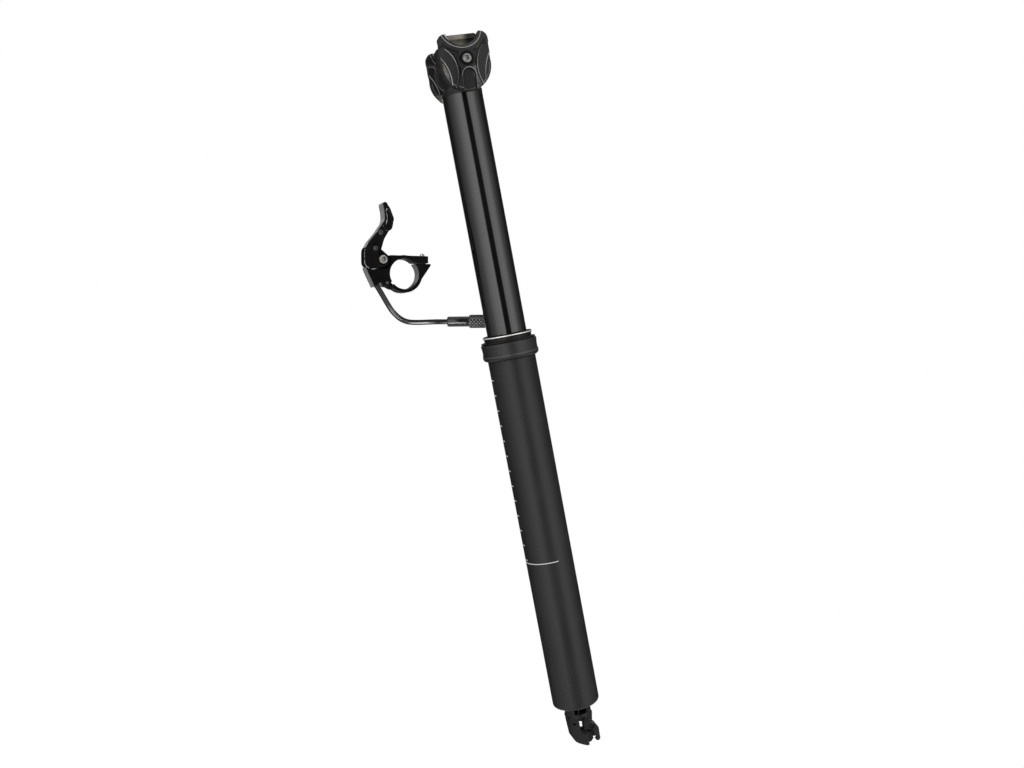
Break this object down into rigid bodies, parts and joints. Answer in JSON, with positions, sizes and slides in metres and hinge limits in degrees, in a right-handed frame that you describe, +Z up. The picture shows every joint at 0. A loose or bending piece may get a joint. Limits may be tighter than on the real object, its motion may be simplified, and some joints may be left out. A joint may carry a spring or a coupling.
{
  "type": "dropper seatpost",
  "caption": "Telescopic dropper seatpost with side-clamp saddle head, sealed collar, cable actuator under the tube, and a thumb lever remote on its cable.",
  "frame": {"origin": "on the post's axis where the outer tube comes out of the collar", "axes": "+Z up the post towards the saddle, +X forward, -Y the drive side that the camera sees"},
  "size_m": [0.1174, 0.1004, 0.5215],
  "materials": {
    "post_black": "matte black anodised",
    "stanchion_black": "gloss black hard anodised",
    "forged_black": "satin black anodised",
    "machined_grey": "machined, dark grey",
    "steel": "bright steel",
    "black_steel": "blackened steel",
    "seal_rubber": "black rubber",
    "bush_polymer": "grey bearing polymer",
    "key_brass": "plain brass",
    "cartridge_metal": "clear anodised",
    "housing_black": "black cable housing"
  },
  "bodies": {
    "post": {"outer_tube": "post_black", "seal_head": "forged_black", "dust_wiper": "seal_rubber", "wiper_ring": "steel", "upper_bushing": "bush_polymer", "seal_ring": "seal_rubber", "top_out_bumper": "seal_rubber", "base_cap": "post_black", "bottom_bumper": "seal_rubber", "piston": "cartridge_metal", "piston_seal": "seal_rubber", "piston_nut": "steel", "piston_rod": "steel", "rod_nut": "steel", "actuator_bracket": "forged_black", "actuator_pin": "steel", "remote_bracket": "forged_black", "jaw_pin": "steel", "lever_bolt": "steel", "housing_front": "housing_black", "adjuster_sleeve": "forged_black", "housing_rear": "housing_black", "hank_tie": "housing_black", "end_ferrule": "housing_black", "wire_end": "steel"},
    "stanchion": {"stanchion": "stanchion_black", "lower_bushing": "bush_polymer", "guide_keys": "key_brass", "saddle_head": "forged_black", "cartridge_tube": "cartridge_metal", "cartridge_plug": "cartridge_metal", "cartridge_guide": "bush_polymer", "gland": "cartridge_metal", "gland_seal": "seal_rubber"},
    "saddle_clamp": {"cradle_near": "machined_grey", "cradle_far": "machined_grey", "plate_near": "forged_black", "plate_far": "forged_black", "clamp_bolt": "steel", "clamp_nut": "black_steel", "bolt_washer": "steel"},
    "floating_piston": {"floating_piston": "cartridge_metal", "floating_seal": "seal_rubber"},
    "valve_pin": {"valve_pin": "steel"},
    "actuator_lever": {"actuator_lever": "forged_black"},
    "thumb_lever": {"thumb_lever": "forged_black", "lever_bush": "key_brass", "lever_screws": "steel", "cable_anchor": "steel"},
    "clamp_jaw": {"clamp_jaw": "forged_black"},
    "clamp_screw": {"clamp_screw": "steel"},
    "adjuster_barrel": {"adjuster_barrel": "forged_black"}
  },
  "joints": [
    {"name": "drop", "type": "slide", "parent": "post", "child": "stanchion", "axis": [0, 0, 1], "range_m": [-0.17, 0], "stiffness_N_per_m": 40, "springref_m": 0.4},
    {"name": "saddle_tilt", "type": "hinge", "parent": "stanchion", "child": "saddle_clamp", "pos_m": [0.0008, 0, 0.2075], "axis": [0, 1, 0], "range_deg": [-15, 15]},
    {"name": "float", "type": "slide", "parent": "stanchion", "child": "floating_piston", "axis": [0, 0, 1], "range_m": [0, 0.0305]},
    {"name": "lever_press", "type": "hinge", "parent": "post", "child": "thumb_lever", "pos_m": [-0.07604, 0.02901, 0.08689], "axis": [-0.2079, 0.9781, 0], "range_deg": [0, 22], "stiffness_Nm_per_rad": 0.3, "springref_deg": -17.19},
    {"name": "actuator_turn", "type": "hinge", "parent": "post", "child": "actuator_lever", "pos_m": [0.0052, 0, -0.2763], "axis": [0, 1, 0], "range_deg": [0, 13.5]},
    {"name": "valve_lift", "type": "slide", "parent": "post", "child": "valve_pin", "axis": [0, 0, 1], "range_m": [0, 0.00117]},
    {"name": "jaw_open", "type": "hinge", "parent": "post", "child": "clamp_jaw", "pos_m": [-0.07613, 0.029, 0.06971], "axis": [-0.2079, 0.9781, 0], "range_deg": [0, 4]},
    {"name": "screw_out", "type": "slide", "parent": "post", "child": "clamp_screw", "axis": [-0.1816, -0.0386, -0.9826], "range_m": [0, 0.00202]},
    {"name": "adjuster_turn", "type": "hinge", "parent": "post", "child": "adjuster_barrel", "pos_m": [-0.00698, 0.04661, 0.0285], "axis": [0.9615, -0.2132, -0.1736], "continuous": true}
  ],
  "couplings": [
    {"joint": "float", "follows": "drop", "ratio": -0.17729},
    {"joint": "lever_press", "follows": "valve_lift", "rad_per_m": 327.9},
    {"joint": "actuator_turn", "follows": "valve_lift", "rad_per_m": 196.7},
    {"joint": "jaw_open", "follows": "screw_out", "rad_per_m": 34.5}
  ]
}
